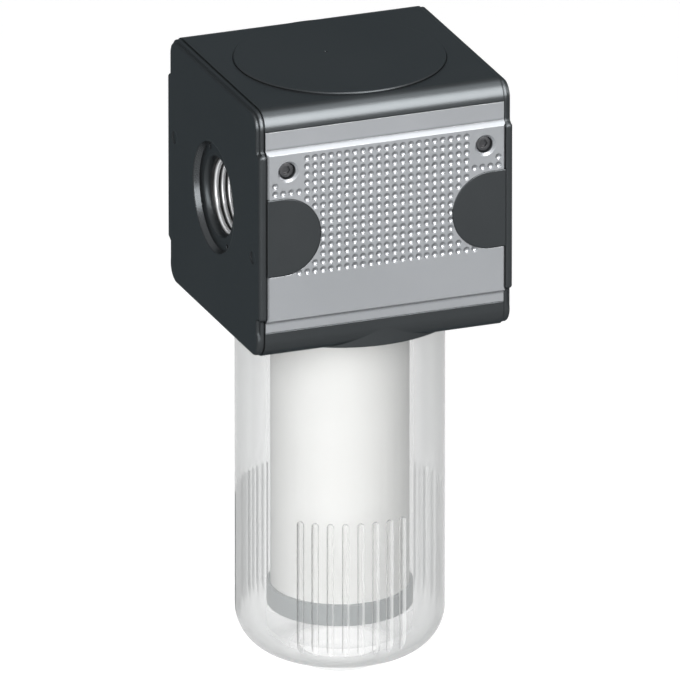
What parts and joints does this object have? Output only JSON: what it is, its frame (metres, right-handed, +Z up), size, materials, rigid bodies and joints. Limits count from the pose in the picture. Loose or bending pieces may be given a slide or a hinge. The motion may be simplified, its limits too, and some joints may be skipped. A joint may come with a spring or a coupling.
{
  "type": "vacuum filter",
  "caption": "Square dark filter head with threaded side ports, dimpled silver cover plates and a clear screw-on bowl around a white filter element.",
  "frame": {"origin": "on the port axis, where the inlet's thread starts", "axes": "+X along the port axis with the flow from inlet to outlet, +Z up along the bowl's axis, -Y to the front"},
  "size_m": [0.07, 0.0678, 0.1673],
  "materials": {
    "housing_dark": "satin moulded",
    "plate_silver": "silver satin",
    "screw_black": "black oxide",
    "bright_metal": "machined bright",
    "seal_rubber": "matt",
    "porous_white": "sintered, porous",
    "cap_grey": "satin moulded",
    "bowl_clear": "clear polycarbonate"
  },
  "bodies": {
    "head": {"housing": "housing_dark", "left_end_plate": "housing_dark", "right_end_plate": "housing_dark", "front_plate": "plate_silver", "rear_plate": "plate_silver", "front_left_screw": "screw_black", "front_right_screw": "screw_black", "rear_left_screw": "screw_black", "rear_right_screw": "screw_black", "front_left_clamp_cover": "housing_dark", "front_right_clamp_cover": "housing_dark", "rear_left_clamp_cover": "housing_dark", "rear_right_clamp_cover": "housing_dark", "top_cap": "housing_dark", "inlet_insert": "bright_metal", "outlet_insert": "bright_metal", "element_gasket": "seal_rubber", "upper_end_cap": "cap_grey", "filter_element": "porous_white", "lower_end_cap": "cap_grey", "tie_rod": "bright_metal", "rod_seal": "seal_rubber", "rod_nut": "bright_metal"},
    "seal": {"bowl_seal": "seal_rubber"},
    "bowl": {"bowl": "bowl_clear"}
  },
  "joints": [
    {"name": "bowl_lower", "type": "slide", "parent": "head", "child": "seal", "axis": [0, 0, -1], "range_m": [0, 0.01]},
    {"name": "bowl_turn", "type": "hinge", "parent": "seal", "child": "bowl", "pos_m": [0.0322, 0, 0], "axis": [0, 0, -1], "range_deg": [0, 900]}
  ],
  "couplings": [
    {"joint": "bowl_lower", "follows": "bowl_turn", "m_per_rad": 0.00063661}
  ]
}
